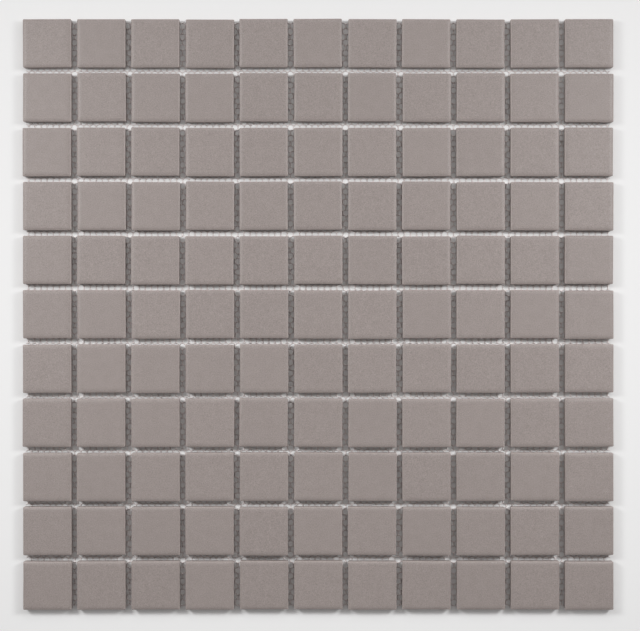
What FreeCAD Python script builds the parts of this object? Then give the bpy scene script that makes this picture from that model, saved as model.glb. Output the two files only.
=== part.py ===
import FreeCAD, Part
import math
import os
import random

# A sheet of small square floor and wall tiles, face up, held together by a net glued to
# their backs. Millimetres. The origin is the middle of the net's underside, +Z points out of
# the tile faces and +Y towards row 1.

# The sheet: the tiles it carries and the open joint between them.
tiles_across = 11
tiles_up = 11
tile_width = 24.4
joint_width = 2.9

# The tile: a dry-pressed square whose face is flat in the middle and falls away a little
# towards its edges. A narrow flat eases the arris between that cushion and the wall, the
# corners are slightly round in plan, and the wall draws in towards the back.
tile_thickness = 5.0
cushion_run = 3.0
cushion_drop = 0.35
arris_width = 0.35
arris_drop = 0.35
plan_corner_radius = 0.9
plan_corner_facets = 2
wall_draft = 0.1

# The backing net, as a flat sheet that stops short of the outer edges. A square opening lies
# at each crossing of the joints, and the bars between them run under the tiles' middles.
net_thickness = 0.4
net_inset = 1.0
net_bar_width = 10.0

# The laying: tiles sit off the grid and turned by up to these amounts.
laying_shift = 0.2
laying_turn = 0.35
laying_seed = 11

pitch = tile_width + joint_width
sheet_width = tiles_across * pitch - joint_width
sheet_height = tiles_up * pitch - joint_width


def tile_outline(inset, height):
    """Return the tile's outline, drawn in by the inset, as points at a height above its back."""
    corner_centre = tile_width / 2 - inset - plan_corner_radius
    points = []
    for quarter in range(4):
        middle = math.radians(90 * quarter + 45)
        centre_x = math.copysign(corner_centre, math.cos(middle))
        centre_y = math.copysign(corner_centre, math.sin(middle))
        for step in range(plan_corner_facets + 1):
            angle = math.radians(90 * (quarter + step / plan_corner_facets))
            x = centre_x + plan_corner_radius * math.cos(angle)
            y = centre_y + plan_corner_radius * math.sin(angle)
            points.append(FreeCAD.Vector(x, y, height))
    return points


def tile_levels():
    """Return the outlines that bound the tile's wall, arris and cushion, from back to face."""
    cushion_foot = tile_thickness - cushion_drop
    return [
        tile_outline(wall_draft, 0),
        tile_outline(0, cushion_foot - arris_drop),
        tile_outline(arris_width, cushion_foot),
        tile_outline(arris_width + cushion_run, tile_thickness),
    ]


def flat_face(points):
    return Part.Face(Part.makePolygon(points + points[:1]))


def make_tile():
    """Return one tile, centred on the origin with its back at height zero."""
    levels = tile_levels()
    faces = [flat_face(levels[0][::-1]), flat_face(levels[-1])]
    for lower, upper in zip(levels, levels[1:]):
        for here in range(len(lower)):
            after = (here + 1) % len(lower)
            faces.append(flat_face([lower[here], lower[after], upper[after], upper[here]]))
    return Part.Solid(Part.Shell(faces))


def laid_rows():
    """Return the tiles of each row, set on the net as a hand or a tray leaves them."""
    chance = random.Random(laying_seed)
    tile = make_tile()
    rows = []
    for row in range(tiles_up):
        laid = []
        for column in range(tiles_across):
            x = (column - (tiles_across - 1) / 2) * pitch
            y = ((tiles_up - 1) / 2 - row) * pitch
            x += chance.uniform(-laying_shift, laying_shift)
            y += chance.uniform(-laying_shift, laying_shift)
            turn = chance.uniform(-laying_turn, laying_turn)
            seat = FreeCAD.Vector(x, y, net_thickness)
            turned = FreeCAD.Rotation(FreeCAD.Vector(0, 0, 1), turn)
            laid.append(tile.transformed(FreeCAD.Placement(seat, turned).toMatrix()))
        rows.append(Part.makeCompound(laid))
    return rows


def centred(rows):
    """Return the rows moved so that the middle of their outer box is over the origin."""
    middle = Part.makeCompound(rows).BoundBox.Center
    return [row.translated(FreeCAD.Vector(-middle.x, -middle.y, 0)) for row in rows]


def rectangle(x, y, width, height):
    """Return a flat rectangle about a middle point, on the net's underside."""
    left, right = x - width / 2, x + width / 2
    bottom, top = y - height / 2, y + height / 2
    corners = [(left, bottom), (right, bottom), (right, top), (left, top)]
    return flat_face([FreeCAD.Vector(*corner, 0) for corner in corners])


def make_backing_net():
    opening = pitch - net_bar_width
    openings = []
    for column in range(1, tiles_across):
        for row in range(1, tiles_up):
            x = (column - tiles_across / 2) * pitch
            y = (row - tiles_up / 2) * pitch
            openings.append(rectangle(x, y, opening, opening))
    outer = rectangle(0, 0, sheet_width - 2 * net_inset, sheet_height - 2 * net_inset)
    net = outer.cut(Part.makeCompound(openings)).Faces[0]
    return net.extrude(FreeCAD.Vector(0, 0, net_thickness))


os.makedirs("parts", exist_ok=True)
for number, row in enumerate(centred(laid_rows()), start=1):
    row.exportStep(f"parts/tile_row_{number:02d}.step")
make_backing_net().exportStep("parts/backing_net.step")
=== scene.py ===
import math
from collections import namedtuple

import bmesh
import bpy
import numpy as np
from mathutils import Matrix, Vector
from mathutils.geometry import delaunay_2d_cdt


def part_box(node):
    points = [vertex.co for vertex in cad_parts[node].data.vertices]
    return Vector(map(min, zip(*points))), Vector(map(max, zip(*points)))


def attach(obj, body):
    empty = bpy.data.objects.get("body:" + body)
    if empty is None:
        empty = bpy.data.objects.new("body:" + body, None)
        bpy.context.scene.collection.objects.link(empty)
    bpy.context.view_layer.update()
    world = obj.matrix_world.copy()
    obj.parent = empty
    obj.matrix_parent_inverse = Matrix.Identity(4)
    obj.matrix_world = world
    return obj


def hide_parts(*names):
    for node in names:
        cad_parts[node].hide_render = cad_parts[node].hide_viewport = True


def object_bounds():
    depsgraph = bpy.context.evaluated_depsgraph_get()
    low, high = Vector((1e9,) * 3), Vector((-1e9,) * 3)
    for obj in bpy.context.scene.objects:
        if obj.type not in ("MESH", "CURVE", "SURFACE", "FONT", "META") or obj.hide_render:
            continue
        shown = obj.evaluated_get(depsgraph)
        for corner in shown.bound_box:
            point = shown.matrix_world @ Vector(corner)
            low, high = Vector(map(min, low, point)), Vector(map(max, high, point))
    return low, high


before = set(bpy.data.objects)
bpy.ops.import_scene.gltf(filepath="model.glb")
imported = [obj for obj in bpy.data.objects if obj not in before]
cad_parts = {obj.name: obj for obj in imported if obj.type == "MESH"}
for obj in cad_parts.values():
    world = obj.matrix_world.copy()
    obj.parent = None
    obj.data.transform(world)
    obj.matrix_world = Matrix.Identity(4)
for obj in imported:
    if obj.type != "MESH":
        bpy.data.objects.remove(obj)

# A sheet of small unglazed mosaic tiles on a knitted net, lying face up on a pale table.
# Metres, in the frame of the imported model: +Z out of the faces, +Y towards tile row 1.

MM = 0.001
CAD_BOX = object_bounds()
TILE_ROWS = sorted(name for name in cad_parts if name.startswith("tile_row"))
NET_NODE = "backing_net"

# The solid tile's wall vertices lie more than this below its face.
WALL_DEPTH = 0.6 * MM

# The tile's form. Its face falls towards its edges as a cushion, and the steps crowd there.
CUSHION_RUN = 3.0 * MM
CUSHION_DROP = 0.5 * MM
CUSHION_POWER = 4
CUSHION_STEPS = 8
CUSHION_CROWDING = 1.5
ARRIS_RADIUS = 0.25 * MM
ARRIS_STEPS = 5
CORNER_RADIUS = 0.5 * MM
CORNER_GROWTH = 0.6
CORNER_STEPS = 5
SIDE_STEPS = 8
WALL_DRAFT = 0.1 * MM
BACK_BEVEL = 0.3 * MM
BEVEL_BEND = 0.3
FACE_RINGS = (0.5 * MM, 2.5 * MM)
SHARP_ANGLE = 28

# The key grooves in the tile's back.
GROOVES = 5
GROOVE_WIDTH = 2.0 * MM
GROOVE_DEPTH = 0.35 * MM
GROOVE_SLOPE = 0.3 * MM
GROOVE_MARGIN = 2.6 * MM
GROOVE_END_STEPS = 4

# How much paler the tile is on its walls (painted light that brightens the shaded joints) and on
# its arris (rubbed wear and a painted highlight), and how far in from the arris the face stays
# paler.
WALL_PAINTED_LIGHT_GAIN = 1.2
ARRIS_WEAR_AND_HIGHLIGHT_GAIN = 1.28
WEAR_AND_HIGHLIGHT_WIDTH = 0.45 * MM

# How far one tile differs from the next in thickness and along its edges, which have waves of
# so many turns round the tile.
THICKNESS_SPREAD = 0.10 * MM
ARRIS_WOBBLE = 0.05 * MM
WOBBLE_TURNS = (3, 5, 8, 13)
TILE_SEED = 5

# The net: round cells in a honeycomb of knitted thread.
CELL_PITCH = 3.12 * MM
THREAD_WIDTH = 0.42 * MM
CELL_CORNERS = 6
OPENING_SIDES = 2 * CELL_CORNERS
KNOT_JITTER = 0.05 * MM
CUT_TOLERANCE = 0.0001 * MM
SLIVER_WIDTH = 0.002 * MM
NET_SEED = 8

# The rows of cells drift in waves, each with a length, a direction in degrees and its share.
# In y the waves come so many times as often as in x.
NET_WANDER = 0.16 * MM
NET_WAVES = ((61 * MM, 20, 0.5), (37 * MM, 75, 0.3), (23 * MM, 130, 0.2))
WAVE_RATE_IN_Y = 1.3

# Colours as display levels of 0 to 255.
BODY_LEVELS = (144.9, 135.2, 131.7)
SOILED_THREAD_LEVELS = (219, 211, 209)
CLEAN_THREAD_LEVELS = (237, 229, 227)
TABLE_LEVELS = (238, 238, 238)
BACKDROP_LEVELS = (236, 236, 236)

# How far the grain, the cloudiness and the firing take a tile's colour from its body's.
GRAIN_SPREAD = 0.28
CLOUD_SPREAD = 0.03
FIRING_SPREAD = 0.012
BUMP_DEPTH = 0.03 * MM

# How far the table reaches from the sheet's middle.
TABLE_REACH = 6.0

# The table has a painted glow of its own, which is seen but lights nothing. It sets in at the
# sheet's edge and soon makes up this share of what is seen, painting light into the sheet's shadow
# there, and far away, where no lamp reaches, it is all of it.
PAINTED_TABLE_GLOW = 0.4
GLOW_RUN = 5 * MM
GLOW_RISE_START = 0.3
GLOW_RISE_END = 1.0

# Two softboxes stand left and right of the sheet, and a wide, weaker one hangs beyond row 1.
# All are off towards row 1, so the shadows fall the other way.
SIDE_LAMP_PLACE = (0.43, 0.178, 0.46)
SIDE_LAMP_AIM = (0.03, -0.15, 0.0)
SIDE_LAMP_SIZE = (0.155, 0.18)
SIDE_LAMP_SPREAD = 110
SIDE_LAMP_POWER = 0.845
TOP_LAMP_PLACE = (0.0, 0.42, 0.42)
TOP_LAMP_AIM = (0.0, 0.0, 0.0)
TOP_LAMP_SIZE = (0.70, 0.15)
TOP_LAMP_SPREAD = 150
TOP_LAMP_POWER = 0.56
SKY_COLOUR = (1.0, 0.955, 0.945, 1.0)
SKY_STRENGTH = 0.19

# The camera looks straight down. In the picture, the sheet's middle lies so many pixels right
# of and above the picture's middle.
PICTURE_WIDTH = 640
TILE_PITCH_PX = 54.22
SHEET_CENTRE_PX = (-1.96, 1.20)
CAMERA_HEIGHT = 0.80
SENSOR_WIDTH = 36.0


# Tiles


LaidTile = namedtuple("LaidTile", "centre turn half_width")


def laid_tiles(node):
    """Return the tiles of a CAD row as they are laid, each with its centre as x + iy.

    A wall's vertices are at its tile's left and right ends, so every second gap along the row
    is a joint. Turning a square turns the fourth power of its corners by four times as much.
    """
    points = np.array([vertex.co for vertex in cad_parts[node].data.vertices])
    wall = points[:, 2] < points[:, 2].max() - WALL_DEPTH
    plan = points[wall, 0] + 1j * points[wall, 1]
    plan = plan[np.argsort(plan.real)]
    least_gap = 1 * MM
    gaps = np.flatnonzero(np.diff(plan.real) > least_gap) + 1
    tiles = []
    for outline in np.split(plan, gaps[1::2]):
        middle_x = (outline.real.min() + outline.real.max()) / 2
        middle_y = (outline.imag.min() + outline.imag.max()) / 2
        centre = complex(middle_x, middle_y)
        spread = outline - centre
        turn = np.angle(-np.sum((spread / MM) ** 4)) / 4
        half_width = (spread * np.exp(-1j * turn)).real.max()
        tiles.append(LaidTile(centre, turn, half_width))
    return tiles


def tile_pitch():
    """Return the distance from one tile to the next along the first row."""
    tiles = laid_tiles(TILE_ROWS[0])
    return (tiles[-1].centre.real - tiles[0].centre.real) / (len(tiles) - 1)


def tile_ring(half_width, radius):
    """Return the points of a square outline with round corners, as x + iy."""
    corner = half_width - radius
    ring = []
    for quarter in range(4):
        turned = 1j ** quarter
        for step in range(CORNER_STEPS):
            angle = math.pi / 2 * step / CORNER_STEPS
            ring.append(turned * (complex(corner, corner) + radius * np.exp(1j * angle)))
        for step in range(SIDE_STEPS):
            along = corner - 2 * corner * step / SIDE_STEPS
            ring.append(turned * complex(along, half_width))
    return np.array(ring)


def tile_section(thickness):
    """Return the tile's section from its back to the middle of its face.

    Each point is its inset from the tile's side, its height and its tint, which is what the
    tile's colour is multiplied by.
    """
    slope = math.atan(CUSHION_POWER * CUSHION_DROP / CUSHION_RUN)
    sweep = math.pi / 2 - slope
    shoulder = thickness - CUSHION_DROP - ARRIS_RADIUS * math.sin(sweep)
    # The walls' tint is painted light that brightens the shaded joints. The arris's tint is partly
    # rubbed wear and partly a painted highlight.
    section = [
        (WALL_DRAFT + BACK_BEVEL, 0.0, 1.0),
        (WALL_DRAFT + BEVEL_BEND * BACK_BEVEL, BEVEL_BEND * BACK_BEVEL, WALL_PAINTED_LIGHT_GAIN),
        (WALL_DRAFT, BACK_BEVEL, WALL_PAINTED_LIGHT_GAIN),
        (WALL_DRAFT / 2, (BACK_BEVEL + shoulder) / 2, WALL_PAINTED_LIGHT_GAIN),
    ]
    for step in range(ARRIS_STEPS + 1):
        share = step / ARRIS_STEPS
        inset = ARRIS_RADIUS * (1 - math.cos(sweep * share))
        height = shoulder + ARRIS_RADIUS * math.sin(sweep * share)
        section.append((inset, height, WALL_PAINTED_LIGHT_GAIN + (ARRIS_WEAR_AND_HIGHLIGHT_GAIN - WALL_PAINTED_LIGHT_GAIN) * share))
    arris_inset = inset
    for step in range(1, CUSHION_STEPS + 1):
        along = CUSHION_RUN * (step / CUSHION_STEPS) ** CUSHION_CROWDING
        fall = CUSHION_DROP * (1 - along / CUSHION_RUN) ** CUSHION_POWER
        # Near the arris the face keeps a paler tint, partly rubbed wear and partly a painted
        # highlight.
        tint = 1.0 + (ARRIS_WEAR_AND_HIGHLIGHT_GAIN - 1.0) * max(0.0, 1 - along / WEAR_AND_HIGHLIGHT_WIDTH)
        section.append((arris_inset + along, thickness - fall, tint))
    for beyond in FACE_RINGS:
        section.append((arris_inset + CUSHION_RUN + beyond, thickness, 1.0))
    return section


def tile_levels(half_width, thickness):
    """Return the tile's outlines up its section, as rows of x, y, z, and its vertices' tint."""
    levels, tints = [], []
    for inset, height, tint in tile_section(thickness):
        ring = tile_ring(half_width - inset, CORNER_RADIUS + CORNER_GROWTH * inset)
        levels.append(np.column_stack([ring.real, ring.imag, np.full(len(ring), height)]))
        tints.append(np.full(len(ring), tint))
    return np.array(levels), np.concatenate(tints)


def groove_ring(middle, half_length, inset, height):
    """Return the outline of one groove at one height, with its inset from the brim."""
    radius = GROOVE_WIDTH / 2 - inset
    reach = half_length - GROOVE_WIDTH / 2
    ring = []
    for end in (1, -1):
        for step in range(GROOVE_END_STEPS + 1):
            angle = math.pi * step / GROOVE_END_STEPS
            x = middle + end * radius * math.cos(angle)
            y = end * (reach + radius * math.sin(angle))
            ring.append((x, y, height))
    return np.array(ring)


def groove_rings(half_width):
    """Return, for each groove of the back, its outline on the back and on its floor."""
    half_length = half_width - GROOVE_MARGIN
    spacing = 2 * half_length / GROOVES
    rings = []
    for groove in range(GROOVES):
        middle = (groove - (GROOVES - 1) / 2) * spacing
        brim = groove_ring(middle, half_length, 0.0, 0.0)
        floor = groove_ring(middle, half_length, GROOVE_SLOPE, GROOVE_DEPTH)
        rings.append((brim, floor))
    return rings


def inside(point, loop):
    """Tell whether a point, in millimetres, lies inside a convex loop that runs anticlockwise."""
    corners = loop[:, :2] / MM
    along = np.roll(corners, -1, axis=0) - corners
    towards = np.array(point) - corners
    return bool((along[:, 0] * towards[:, 1] - along[:, 1] * towards[:, 0] > 0).all())


def filled(outer, holes):
    """Return the triangles of a flat region with holes, as indices into outer and then holes."""
    loops = [outer] + holes
    edges, start = [], 0
    for loop in loops:
        count = len(loop)
        edges += [(start + here, start + (here + 1) % count) for here in range(count)]
        start += count
    flat = [Vector((x / MM, y / MM)) for x, y in np.concatenate(loops)[:, :2]]
    triangles_inside, merging = 1, 1e-7
    _, _, triangles, _, _, _ = delaunay_2d_cdt(flat, edges, [], triangles_inside, merging)
    kept = []
    for triangle in triangles:
        middle = sum((flat[index] for index in triangle), Vector((0, 0))) / 3
        if not any(inside(middle, hole) for hole in holes):
            kept.append(tuple(triangle))
    return kept


def band(low, high, count):
    """Return the faces between two rings of count vertices that start at low and at high."""
    faces = []
    for here in range(count):
        after = (here + 1) % count
        faces.append((low + here, low + after, high + after, high + here))
    return faces


def tile_form(half_width, thickness):
    """Return the vertices, faces and tint of one tile, its back at height zero."""
    levels, tint = tile_levels(half_width, thickness)
    count = levels.shape[1]
    faces = []
    for level in range(len(levels) - 1):
        faces += band(level * count, (level + 1) * count, count)
    last, middle = (len(levels) - 1) * count, len(levels) * count
    faces += [(last + here, last + (here + 1) % count, middle) for here in range(count)]
    vertices = [levels.reshape(-1, 3), np.array([[0.0, 0.0, thickness]])]

    grooves = groove_rings(half_width)
    back = list(range(count))
    total = middle + 1
    for brim, floor in grooves:
        size = len(brim)
        floor_start = total + size
        vertices += [brim, floor]
        back += range(total, floor_start)
        faces += band(floor_start, total, size)
        faces.append(tuple(range(floor_start + size - 1, floor_start - 1, -1)))
        total += 2 * size
    for triangle in filled(levels[0], [brim for brim, _ in grooves]):
        faces.append(tuple(back[triangle[corner]] for corner in (0, 2, 1)))
    vertices = np.concatenate(vertices)
    tint = np.append(tint, np.ones(len(vertices) - len(tint)))
    return vertices, faces, tint


def uneven(vertices, half_width, thickness, chance):
    """Return a tile's vertices with its own thickness, slight tilt and wavy edges."""
    out = vertices.copy()
    around = np.angle(out[:, 0] + 1j * out[:, 1])
    wave = np.zeros(len(out))
    for turns in WOBBLE_TURNS:
        wave += np.sin(turns * around + chance.uniform(0, 2 * math.pi)) / len(WOBBLE_TURNS)
    rim_width = 1.01 * ARRIS_RADIUS
    rim = np.maximum(abs(out[:, 0]), abs(out[:, 1])) > half_width - rim_width
    high = out[:, 2] > thickness / 2
    shrink = np.where(rim & high, ARRIS_WOBBLE * (1 + wave) / 2, 0.0)
    out[:, :2] *= (1 - shrink / half_width)[:, None]
    lean_x, lean_y, thinner = chance.uniform(0, 1, 3)
    lean = lean_x * (1 + out[:, 0] / half_width) + lean_y * (1 + out[:, 1] / half_width)
    # The draw for the thickness is at most 1, and what each lean adds at most 2.
    most = 1 + 2 + 2
    drop = THICKNESS_SPREAD * (thinner + lean) / most
    out[:, 2] -= np.where(high, drop, 0.0)
    return out


def new_object(name, vertices, faces):
    """Make a smooth-shaded mesh object from vertices and faces."""
    mesh = bpy.data.meshes.new(name)
    mesh.from_pydata(vertices.tolist(), [], faces)
    mesh.polygons.foreach_set("use_smooth", [True] * len(mesh.polygons))
    mesh.update()
    piece = bpy.data.objects.new(name, mesh)
    bpy.context.scene.collection.objects.link(piece)
    return piece


def make_tile_row(node, chance):
    """Make the fired tiles of one row, where the CAD row has them."""
    low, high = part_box(node)
    thickness = high.z - low.z
    tiles = laid_tiles(node)
    form, form_faces, form_tint = tile_form(tiles[0].half_width, thickness)
    vertices, faces = [], []
    for number, laid in enumerate(tiles):
        tile = uneven(form, laid.half_width, thickness, chance)
        plan = (tile[:, 0] + 1j * tile[:, 1]) * np.exp(1j * laid.turn) + laid.centre
        vertices.append(np.column_stack([plan.real, plan.imag, tile[:, 2] + low.z]))
        start = number * len(form)
        faces += [tuple(index + start for index in face) for face in form_faces]
    piece = new_object(node + "_fired", np.concatenate(vertices), faces)
    tint = piece.data.attributes.new("tint", "FLOAT", "POINT")
    tint.data.foreach_set("value", np.tile(form_tint, len(tiles)))
    piece.data.set_sharp_from_angle(angle=math.radians(SHARP_ANGLE))
    return piece


# Net


def cell_centres(half_x, half_y):
    """Return the middles of a honeycomb's cells, over a box and a little beyond, as x + iy."""
    row_pitch = CELL_PITCH * math.sqrt(3) / 2
    columns = math.ceil(half_x / CELL_PITCH) + 2
    rows = math.ceil(half_y / row_pitch) + 2
    column, row = np.meshgrid(np.arange(-columns, columns + 1), np.arange(-rows, rows + 1))
    column, row = column.ravel(), row.ravel()
    return CELL_PITCH * (column + (row % 2) / 2) + 1j * row_pitch * row


def net_knots(centres):
    """Return the knots where three cells meet, as x + iy, and the numbers of each cell's six."""
    angles = np.radians(30 + 60 * np.arange(CELL_CORNERS))
    reach = CELL_PITCH / math.sqrt(3)
    corners = centres[:, None] + reach * np.exp(1j * angles)[None, :]
    across = np.round(corners.real / (CELL_PITCH / 2)).astype(int)
    up = np.round(corners.imag / (reach / 2)).astype(int)
    more_than_any_row = 100000
    places = (across + more_than_any_row * up).ravel()
    _, first, knot = np.unique(places, return_index=True, return_inverse=True)
    return corners.ravel()[first], knot.reshape(corners.shape)


def net_opening():
    """Return how far the sides of a cell's opening are from its middle, and half their angle."""
    apothem = (CELL_PITCH - THREAD_WIDTH) / 2
    return apothem, math.radians(180 / OPENING_SIDES)


def net_lattice(half_x, half_y, height):
    """Return the cells' middles, the net's vertices, and the faces of each cell by their kind.

    A cell's faces run from a ridge of thread, shared with its neighbours, down to the
    middle of the thread's side round its own opening, above and below.
    """
    centres = cell_centres(half_x, half_y)
    knots, knot = net_knots(centres)
    chance = np.random.default_rng(NET_SEED)
    jitter = chance.uniform(-1, 1, (2, len(knots))) * KNOT_JITTER
    shift = jitter[0] + 1j * jitter[1]
    knots = knots + shift

    apothem, half_angle = net_opening()
    angles = np.radians(180 / OPENING_SIDES * (1 + 2 * np.arange(OPENING_SIDES)))
    opening = apothem / math.cos(half_angle) * np.exp(1j * angles)
    openings = centres[:, None] + opening[None, :] + shift[knot].mean(axis=1)[:, None]

    plan = np.concatenate([knots, knots, openings.ravel()])
    count = len(knots)
    level = np.full(len(plan), height / 2)
    level[:count] = height
    level[count:2 * count] = 0.0
    vertices = np.column_stack([plan.real, plan.imag, level])

    first = 2 * count + OPENING_SIDES * np.arange(len(centres))[:, None]
    corner = 2 * np.arange(CELL_CORNERS)[None, :]
    here, there = first + corner, first + corner + 1
    further = first + (corner + 2) % OPENING_SIDES
    knot_next = np.roll(knot, -1, axis=1)
    top_corner = np.stack([knot, here, there], axis=-1)[..., ::-1]
    top_side = np.stack([knot, there, further, knot_next], axis=-1)[..., ::-1]
    low_corner = np.stack([knot + count, here, there], axis=-1)
    low_side = np.stack([knot + count, there, further, knot_next + count], axis=-1)
    return centres, vertices, (top_corner, top_side, low_corner, low_side)


def wandered(vertices):
    """Return the net's vertices with its rows of cells drifting softly off their lines."""
    out = vertices.copy()
    x, y = vertices[:, 0], vertices[:, 1]
    for wavelength, angle, share in NET_WAVES:
        turn = math.radians(angle)
        phase = 2 * math.pi * (x * math.cos(turn) + y * math.sin(turn)) / wavelength
        out[:, 0] += NET_WANDER * share * np.sin(phase)
        out[:, 1] += NET_WANDER * share * np.cos(WAVE_RATE_IN_Y * phase)
    return out


def cut_net(piece, low, high):
    """Cut the net straight along the sides of its box and close the ends of the threads."""
    work = bmesh.new()
    work.from_mesh(piece.data)
    cuts = (
        ((low.x, 0, 0), (-1, 0, 0)),
        ((high.x, 0, 0), (1, 0, 0)),
        ((0, low.y, 0), (0, -1, 0)),
        ((0, high.y, 0), (0, 1, 0)),
    )
    for point, outward in cuts:
        everything = work.verts[:] + work.edges[:] + work.faces[:]
        bmesh.ops.bisect_plane(work, geom=everything, plane_co=point, plane_no=outward,
                               clear_outer=True, dist=CUT_TOLERANCE)
        rim = [edge for edge in work.edges if edge.is_boundary]
        bmesh.ops.holes_fill(work, edges=rim, sides=0)
    bmesh.ops.dissolve_degenerate(work, dist=SLIVER_WIDTH, edges=work.edges[:])
    work.to_mesh(piece.data)
    work.free()


def make_net_half(name, side, lattice):
    """Make the half of the net on one side of the middle, +1 towards row 1 and -1 away."""
    low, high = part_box(NET_NODE)
    centres, vertices, groups = lattice
    beyond = 2 * CELL_PITCH
    kept = (side * centres.imag > -beyond) & (abs(centres.real) < high.x + beyond)
    faces = []
    for group in groups:
        faces += group[kept].reshape(-1, group.shape[-1]).tolist()
    used = np.unique(np.concatenate(faces))
    number = np.full(len(vertices), -1)
    number[used] = np.arange(len(used))
    faces = [tuple(number[index] for index in face) for face in faces]
    piece = new_object(name, wandered(vertices[used]), faces)
    bottom = Vector((low.x, 0.0 if side > 0 else low.y, low.z))
    top = Vector((high.x, high.y if side > 0 else 0.0, high.z))
    cut_net(piece, bottom, top)
    piece.data.polygons.foreach_set("use_smooth", [True] * len(piece.data.polygons))
    return piece


# Materials


def srgb(red, green, blue):
    """Return a display colour of 0 to 255 as the linear colour that a material takes."""
    linear = []
    for channel in (red, green, blue):
        share = channel / 255
        linear.append(share / 12.92 if share <= 0.04045 else ((share + 0.055) / 1.055) ** 2.4)
    return (*linear, 1.0)


def scaled(colour, gain):
    """Return a colour with its red, green and blue multiplied."""
    return (*(gain * channel for channel in colour[:3]), 1.0)


def new_material(name):
    """Return a material with its node tree's nodes, links and Principled shader."""
    material = bpy.data.materials.new(name)
    material.use_nodes = True
    nodes, links = material.node_tree.nodes, material.node_tree.links
    return material, nodes, links, nodes["Principled BSDF"]


def add(nodes, kind, settings=None, **inputs):
    """Add a node and set its properties, and its inputs by name with spaces as underscores."""
    node = nodes.new(kind)
    for key, value in (settings or {}).items():
        setattr(node, key, value)
    for key, value in inputs.items():
        node.inputs[key.replace("_", " ")].default_value = value
    return node


def linked(nodes, links, kind, sockets, settings=None, **inputs):
    """Add a node, feed its first inputs from the sockets in order, and return its first output."""
    node = add(nodes, kind, settings, **inputs)
    for number, socket in enumerate(sockets):
        links.new(socket, node.inputs[number])
    return node.outputs[0]


def calculated(nodes, links, operation, *sockets, clamped=False):
    """Return a socket with what a maths node makes of one or two others."""
    settings = {"operation": operation, "use_clamp": clamped}
    return linked(nodes, links, "ShaderNodeMath", sockets, settings)


def noise(nodes, links, place, **inputs):
    """Return a socket with the level of a noise at a place."""
    return linked(nodes, links, "ShaderNodeTexNoise", [place], **inputs)


def ranged(nodes, links, value, **ends):
    """Return a socket with a value mapped from one range to another, each 0 to 1 if not given."""
    return linked(nodes, links, "ShaderNodeMapRange", [value], **ends)


def ramp(nodes, links, value, stops):
    """Return a socket with the colour of a value, from stops of (place, colour)."""
    node = add(nodes, "ShaderNodeValToRGB")
    elements = node.color_ramp.elements
    while len(elements) < len(stops):
        elements.new(0.5)
    for element, (place, colour) in zip(elements, stops):
        element.position = place
        element.color = colour
    links.new(value, node.inputs["Fac"])
    return node.outputs["Color"]


def finish_surface(nodes, links, shader, roughness, height, strength):
    """Give a shader its roughness and, from a height, its fine bumps."""
    links.new(roughness, shader.inputs["Roughness"])
    bump = add(nodes, "ShaderNodeBump", Strength=strength, Distance=BUMP_DEPTH)
    links.new(height, bump.inputs["Height"])
    links.new(bump.outputs[0], shader.inputs["Normal"])


def tile_chance_node(nodes, links, place, pitch):
    """Return a node that draws a value and a colour for each tile, from its place on the grid."""
    vector_maths = "ShaderNodeVectorMath"
    shifted = add(nodes, vector_maths, {"operation": "ADD"})
    shifted.inputs[1].default_value = (pitch / 2, pitch / 2, 0)
    which = add(nodes, vector_maths, {"operation": "SNAP"})
    which.inputs[1].default_value = (pitch, pitch, 1)
    own = add(nodes, "ShaderNodeTexWhiteNoise", {"noise_dimensions": "3D"})
    links.new(place, shifted.inputs[0])
    links.new(shifted.outputs[0], which.inputs[0])
    links.new(which.outputs[0], own.inputs["Vector"])
    return own


def tile_material(pitch):
    """Unglazed porcelain: a warm grey body with a fine salt-and-pepper grain.

    Each tile has its own stretch of the grain and its own level. The walls are paler by the tint
    that the mesh carries, as painted light, and the arris by rubbed wear and a painted highlight.
    """
    material, nodes, links, shader = new_material("unglazed_porcelain")
    place = add(nodes, "ShaderNodeTexCoord").outputs["Object"]
    own = tile_chance_node(nodes, links, place, pitch)
    moved = linked(nodes, links, "ShaderNodeVectorMath", [place, own.outputs["Color"]],
                   {"operation": "ADD"})
    grain = noise(nodes, links, moved, Scale=2400, Detail=2, Roughness=0.6)
    cloud = noise(nodes, links, moved, Scale=260, Detail=2, Roughness=0.5)
    pores = noise(nodes, links, moved, Scale=4200, Detail=1, Roughness=0.5)

    body = srgb(*BODY_LEVELS)
    dark, pale = scaled(body, 1 - GRAIN_SPREAD), scaled(body, 1 + GRAIN_SPREAD)
    grained = ramp(nodes, links, grain, [(0.30, dark), (0.46, body), (0.54, body), (0.70, pale)])
    clouded = ranged(nodes, links, cloud, From_Min=0.3, From_Max=0.7,
                     To_Min=1 - CLOUD_SPREAD, To_Max=1 + CLOUD_SPREAD)
    fired = ranged(nodes, links, own.outputs["Value"],
                   To_Min=1 - FIRING_SPREAD, To_Max=1 + FIRING_SPREAD)
    # The tint paints light onto the walls, and a highlight with some rubbed wear onto the arris.
    tint = add(nodes, "ShaderNodeAttribute", {"attribute_name": "tint"}).outputs["Fac"]
    level = calculated(nodes, links, "MULTIPLY", clouded, fired)
    lifted = calculated(nodes, links, "MULTIPLY", level, tint)
    colour = add(nodes, "ShaderNodeVectorMath", {"operation": "SCALE"})
    links.new(grained, colour.inputs[0])
    links.new(lifted, colour.inputs["Scale"])
    links.new(colour.outputs[0], shader.inputs["Base Color"])

    rough = ranged(nodes, links, grain, To_Min=0.40, To_Max=0.56)
    finish_surface(nodes, links, shader, rough, pores, 0.3)
    return material


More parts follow.
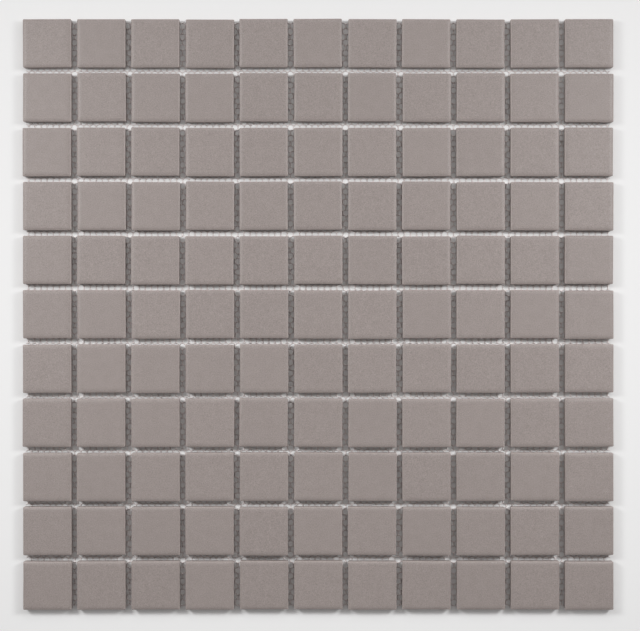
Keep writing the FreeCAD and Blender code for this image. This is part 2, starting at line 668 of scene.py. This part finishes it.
def net_material():
    """Off-white polyester thread, stiffened with glue."""
    material, nodes, links, shader = new_material("knitted_thread")
    place = add(nodes, "ShaderNodeTexCoord").outputs["Object"]
    fibres = noise(nodes, links, place, Scale=5200, Detail=2, Roughness=0.6)
    soil = noise(nodes, links, place, Scale=120, Detail=2, Roughness=0.5)
    soiled, clean = srgb(*SOILED_THREAD_LEVELS), srgb(*CLEAN_THREAD_LEVELS)
    links.new(ramp(nodes, links, soil, [(0.3, soiled), (0.7, clean)]), shader.inputs["Base Color"])
    rough = ranged(nodes, links, fibres, To_Min=0.45, To_Max=0.7)
    finish_surface(nodes, links, shader, rough, fibres, 0.4)
    return material


def seen_directly(nodes, links):
    """Return a socket that is 1 for rays from the camera, also by way of a shine or a glass."""
    rays = add(nodes, "ShaderNodeLightPath").outputs
    both = calculated(nodes, links, "ADD", rays["Is Camera Ray"], rays["Is Glossy Ray"])
    return calculated(nodes, links, "ADD", both, rays["Is Transmission Ray"], clamped=True)


def floor_material():
    """A pale table top with a painted glow beside the sheet, which thins its shadow, and evenly
    pale far away.
    """
    material, nodes, links, shader = new_material("pale_table")
    shader.inputs["Base Color"].default_value = srgb(*TABLE_LEVELS)
    shader.inputs["Roughness"].default_value = 0.8
    shader.inputs["Specular IOR Level"].default_value = 0.2

    place = add(nodes, "ShaderNodeTexCoord").outputs["Object"]
    sides = add(nodes, "ShaderNodeSeparateXYZ")
    size = linked(nodes, links, "ShaderNodeVectorMath", [place], {"operation": "ABSOLUTE"})
    links.new(size, sides.inputs[0])
    far = calculated(nodes, links, "MAXIMUM", sides.outputs["X"], sides.outputs["Y"])
    edge = CAD_BOX[1].x
    # A painted glow sets in beside the sheet and lightens the sheet's shadow on the table.
    near = ranged(nodes, links, far, From_Min=edge, From_Max=edge + GLOW_RUN, To_Max=PAINTED_TABLE_GLOW)
    fade = ranged(nodes, links, far, From_Min=GLOW_RISE_START, From_Max=GLOW_RISE_END,
                  To_Max=1.0 - PAINTED_TABLE_GLOW)
    both = calculated(nodes, links, "ADD", near, fade)
    seen = calculated(nodes, links, "MULTIPLY", both, seen_directly(nodes, links))

    glow = add(nodes, "ShaderNodeEmission", Color=srgb(*BACKDROP_LEVELS), Strength=1.0)
    blend = linked(nodes, links, "ShaderNodeMixShader", [seen, shader.outputs[0], glow.outputs[0]])
    links.new(blend, nodes["Material Output"].inputs["Surface"])
    return material


# Stage


def make_floor():
    """Make the table top, which stays out of the part."""
    mesh = bpy.data.meshes.new("table_top")
    reach = TABLE_REACH
    corners = [(-reach, -reach, 0), (reach, -reach, 0), (reach, reach, 0), (-reach, reach, 0)]
    mesh.from_pydata(corners, [], [(0, 1, 2, 3)])
    floor = bpy.data.objects.new("table_top", mesh)
    bpy.context.scene.collection.objects.link(floor)
    floor.data.materials.append(floor_material())


def make_lamp(name, place, aim, size, spread, power):
    """Make a softbox that looks from one point towards another. The camera doesn't see it."""
    light = bpy.data.lights.new(name, "AREA")
    light.shape = "RECTANGLE"
    light.size, light.size_y = size
    light.spread = math.radians(spread)
    light.energy = power
    lamp = bpy.data.objects.new(name, light)
    lamp.location = place
    away = Vector(place) - Vector(aim)
    lamp.rotation_euler = away.to_track_quat("Z", "Y").to_euler()
    lamp.visible_camera = False
    bpy.context.scene.collection.objects.link(lamp)


def make_lamps():
    """Make the two side lamps, mirrored left to right, and the one beyond row 1."""
    for name, side in (("softbox_left", -1), ("softbox_right", 1)):
        mirror = Vector((side, 1, 1))
        place = Vector(SIDE_LAMP_PLACE) * mirror
        aim = Vector(SIDE_LAMP_AIM) * mirror
        make_lamp(name, place, aim, SIDE_LAMP_SIZE, SIDE_LAMP_SPREAD, SIDE_LAMP_POWER)
    make_lamp("softbox_top", TOP_LAMP_PLACE, TOP_LAMP_AIM, TOP_LAMP_SIZE, TOP_LAMP_SPREAD,
              TOP_LAMP_POWER)


def make_sky():
    """Make a weak warm sky, which looks like the table's far end where it is seen itself."""
    world = bpy.data.worlds.new("studio")
    world.use_nodes = True
    nodes, links = world.node_tree.nodes, world.node_tree.links
    soft = nodes["Background"]
    soft.inputs["Color"].default_value = SKY_COLOUR
    soft.inputs["Strength"].default_value = SKY_STRENGTH
    plain = add(nodes, "ShaderNodeBackground", Color=srgb(*BACKDROP_LEVELS), Strength=1.0)
    sockets = [seen_directly(nodes, links), soft.outputs[0], plain.outputs[0]]
    blend = linked(nodes, links, "ShaderNodeMixShader", sockets)
    links.new(blend, nodes["World Output"].inputs["Surface"])
    bpy.context.scene.world = world


def make_camera(pitch):
    """Look straight down, so that the sheet fills the same part of the picture as in the photo."""
    scale = TILE_PITCH_PX / pitch
    shoulder = CAD_BOX[1].z - CUSHION_DROP
    data = bpy.data.cameras.new("camera")
    data.sensor_width = SENSOR_WIDTH
    data.lens = SENSOR_WIDTH * CAMERA_HEIGHT * scale / PICTURE_WIDTH
    camera = bpy.data.objects.new("camera", data)
    across, up = SHEET_CENTRE_PX
    camera.location = (-across / scale, -up / scale, CAMERA_HEIGHT + shoulder)
    bpy.context.scene.collection.objects.link(camera)
    bpy.context.scene.camera = camera


def settle(piece, node, material):
    """Put a piece in the place of its CAD node, with its finish."""
    piece.data.materials.clear()
    piece.data.materials.append(material)
    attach(piece, "root")
    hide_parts(node)


def make_tiles(pitch):
    """Make all the rows of tiles."""
    porcelain = tile_material(pitch)
    chance = np.random.default_rng(TILE_SEED)
    for node in TILE_ROWS:
        settle(make_tile_row(node, chance), node, porcelain)


def make_net():
    """Make the net in two halves, each of them a flat sheet."""
    low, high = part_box(NET_NODE)
    lattice = net_lattice(high.x, high.y, high.z - low.z)
    thread = net_material()
    for name, side in (("backing_net_far_half", 1), ("backing_net_near_half", -1)):
        half = make_net_half(name, side, lattice)
        settle(half, NET_NODE, thread)


PITCH = tile_pitch()
make_tiles(PITCH)
make_net()
make_floor()
make_lamps()
make_sky()
make_camera(PITCH)
bpy.context.scene.view_settings.view_transform = "Standard"
